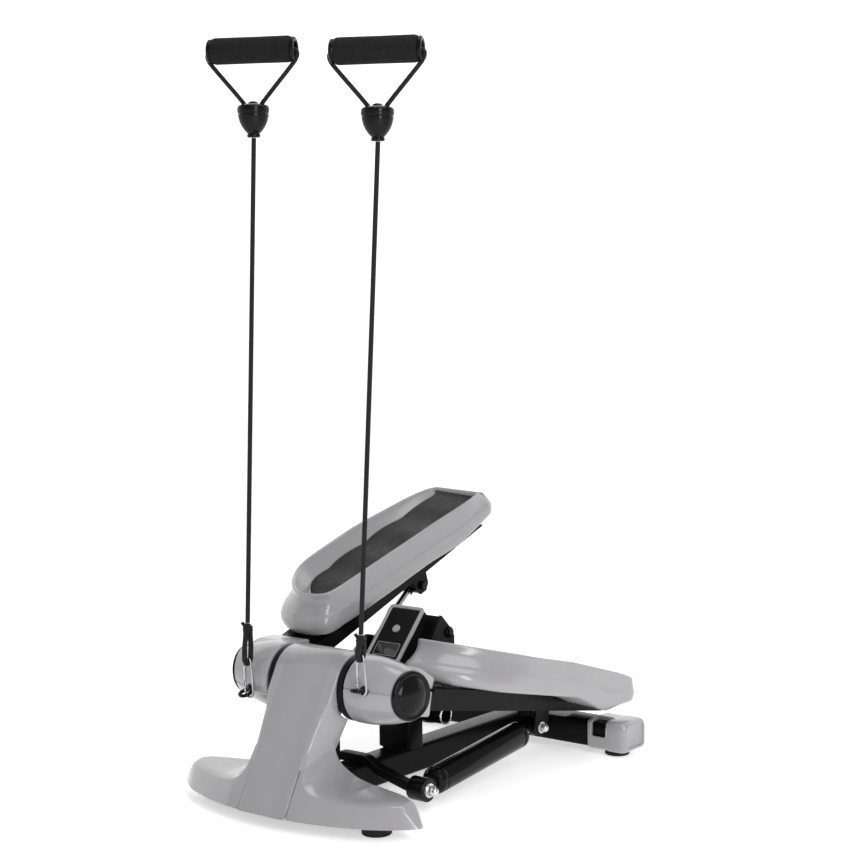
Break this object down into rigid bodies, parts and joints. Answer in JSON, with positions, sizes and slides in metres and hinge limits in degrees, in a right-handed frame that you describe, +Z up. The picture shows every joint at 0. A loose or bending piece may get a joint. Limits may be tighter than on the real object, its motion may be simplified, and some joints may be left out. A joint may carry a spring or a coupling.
{
  "type": "mini stepper",
  "caption": "Mini stepper with two coupled pedals on damping cylinders, a small counter and elastic hand cords with foam grips, for step exercise at home.",
  "frame": {"origin": "on the floor under the middle of the machine's box", "axes": "+Z up; the front cover faces -Y and the user stands on the pedals at +Y; +X is the right pedal's side as seen from the front"},
  "size_m": [0.408, 0.6274, 1.0168],
  "materials": {
    "grey_plastic": "satin moulded grey",
    "black_steel": "gloss black powder coat",
    "bright_steel": "bright zinc and chrome plate",
    "black_plastic": "gloss black",
    "display_glass": "clear window over a dark display",
    "rubber": "matt black rubber",
    "mat_rubber": "dark grey ribbed rubber",
    "elastic_cord": "braided black sleeve",
    "foam": "closed-cell foam"
  },
  "bodies": {
    "base": {"front_cover_middle": "grey_plastic", "front_cover_left": "grey_plastic", "front_cover_right": "grey_plastic", "front_crossbar": "black_steel", "main_rail": "black_steel", "rear_tube": "black_steel", "front_upright": "black_steel", "support_post": "black_steel", "cylinder_bracket": "black_steel", "pivot_axle": "bright_steel", "rear_end_cap_left": "grey_plastic", "rear_end_cap_right": "grey_plastic", "front_foot_left": "rubber", "front_foot_right": "rubber", "rear_foot_left": "rubber", "rear_foot_right": "rubber", "lower_nut_left": "bright_steel", "lower_nut_right": "bright_steel", "balance_cable": "bright_steel", "counter_bracket": "black_steel", "counter_case": "black_plastic", "counter_bezel": "grey_plastic", "counter_panel": "black_plastic", "counter_display": "display_glass"},
    "balance_wheel": {"balance_pulley": "black_plastic"},
    "mode_button": {"counter_button": "grey_plastic"},
    "left_pedal": {"pedal_arm_left": "black_steel", "footplate_left": "grey_plastic", "grip_mat_left": "mat_rubber", "pivot_shell_upper_left": "grey_plastic", "pivot_shell_lower_left": "grey_plastic", "pivot_cap_left": "black_plastic", "cord_eye_left": "black_steel", "cylinder_clevis_left": "black_steel", "clevis_bolt_left": "bright_steel"},
    "left_cylinder": {"cylinder_barrel_left": "black_steel"},
    "left_piston": {"cylinder_rod_left": "bright_steel"},
    "left_cord": {"snap_hook_left": "bright_steel", "cord_loop_left": "elastic_cord", "cord_left": "elastic_cord", "cord_connector_left": "black_plastic", "strap_left": "elastic_cord"},
    "left_grip": {"foam_grip_left": "foam"},
    "right_pedal": {"pedal_arm_right": "black_steel", "footplate_right": "grey_plastic", "grip_mat_right": "mat_rubber", "pivot_shell_upper_right": "grey_plastic", "pivot_shell_lower_right": "grey_plastic", "pivot_cap_right": "black_plastic", "cord_eye_right": "black_steel", "cylinder_clevis_right": "black_steel", "clevis_bolt_right": "bright_steel"},
    "right_cylinder": {"cylinder_barrel_right": "black_steel"},
    "right_piston": {"cylinder_rod_right": "bright_steel"},
    "right_cord": {"snap_hook_right": "bright_steel", "cord_loop_right": "elastic_cord", "cord_right": "elastic_cord", "cord_connector_right": "black_plastic", "strap_right": "elastic_cord"},
    "right_grip": {"foam_grip_right": "foam"}
  },
  "joints": [
    {"name": "left_pedal_pivot", "type": "hinge", "parent": "base", "child": "left_pedal", "pos_m": [0, -0.1781, 0.167], "axis": [-1, 0, 0], "range_deg": [0, 31.6]},
    {"name": "right_pedal_pivot", "type": "hinge", "parent": "base", "child": "right_pedal", "pos_m": [0, -0.1781, 0.167], "axis": [1, 0, 0], "range_deg": [0, 31.6]},
    {"name": "balance_wheel_spin", "type": "hinge", "parent": "base", "child": "balance_wheel", "pos_m": [0, -0.2231, 0.092], "axis": [0, 1, 0], "range_deg": [0, 45]},
    {"name": "left_cylinder_pivot", "type": "hinge", "parent": "base", "child": "left_cylinder", "pos_m": [0, -0.1231, 0.028], "axis": [-1, 0, 0], "range_deg": [0, 35]},
    {"name": "left_piston_slide", "type": "slide", "parent": "left_cylinder", "child": "left_piston", "axis": [0, -0.7873, -0.6166], "range_m": [0, 0.088]},
    {"name": "right_cylinder_pivot", "type": "hinge", "parent": "base", "child": "right_cylinder", "pos_m": [0, -0.1231, 0.028], "axis": [1, 0, 0], "range_deg": [0, 35]},
    {"name": "right_piston_slide", "type": "slide", "parent": "right_cylinder", "child": "right_piston", "axis": [0, 0.9932, 0.1163], "range_m": [0, 0.088]},
    {"name": "left_cord_swing", "type": "hinge", "parent": "left_pedal", "child": "left_cord", "pos_m": [-0.1, -0.22918, 0.148], "axis": [1, 0, 0], "range_deg": [0, 31.6]},
    {"name": "left_grip_spin", "type": "hinge", "parent": "left_cord", "child": "left_grip", "pos_m": [-0.1, -0.19022, 1.00042], "axis": [0.8988, 0.4384, 0], "continuous": true},
    {"name": "right_cord_swing", "type": "hinge", "parent": "right_pedal", "child": "right_cord", "pos_m": [0.1, -0.23156, 0.17759], "axis": [-1, 0, 0], "range_deg": [0, 31.6]},
    {"name": "right_grip_spin", "type": "hinge", "parent": "right_cord", "child": "right_grip", "pos_m": [0.1, -0.17474, 0.98659], "axis": [0.8988, 0.4384, 0], "continuous": true},
    {"name": "counter_button_press", "type": "slide", "parent": "base", "child": "mode_button", "axis": [0, 0.7337, -0.6794], "range_m": [0, 0.0012], "stiffness_N_per_m": 300, "springref_m": -0.0005}
  ],
  "couplings": [
    {"joint": "right_pedal_pivot", "follows": "left_pedal_pivot", "ratio": 1},
    {"joint": "balance_wheel_spin", "follows": "left_pedal_pivot", "ratio": 1.32},
    {"joint": "left_cylinder_pivot", "follows": "left_pedal_pivot", "ratio": 0.96849},
    {"joint": "left_piston_slide", "follows": "left_pedal_pivot", "m_per_rad": 0.14685},
    {"joint": "left_cord_swing", "follows": "left_pedal_pivot", "ratio": 1},
    {"joint": "right_cylinder_pivot", "follows": "left_pedal_pivot", "ratio": 1.0142},
    {"joint": "right_piston_slide", "follows": "left_pedal_pivot", "m_per_rad": 0.14758},
    {"joint": "right_cord_swing", "follows": "left_pedal_pivot", "ratio": 1}
  ]
}
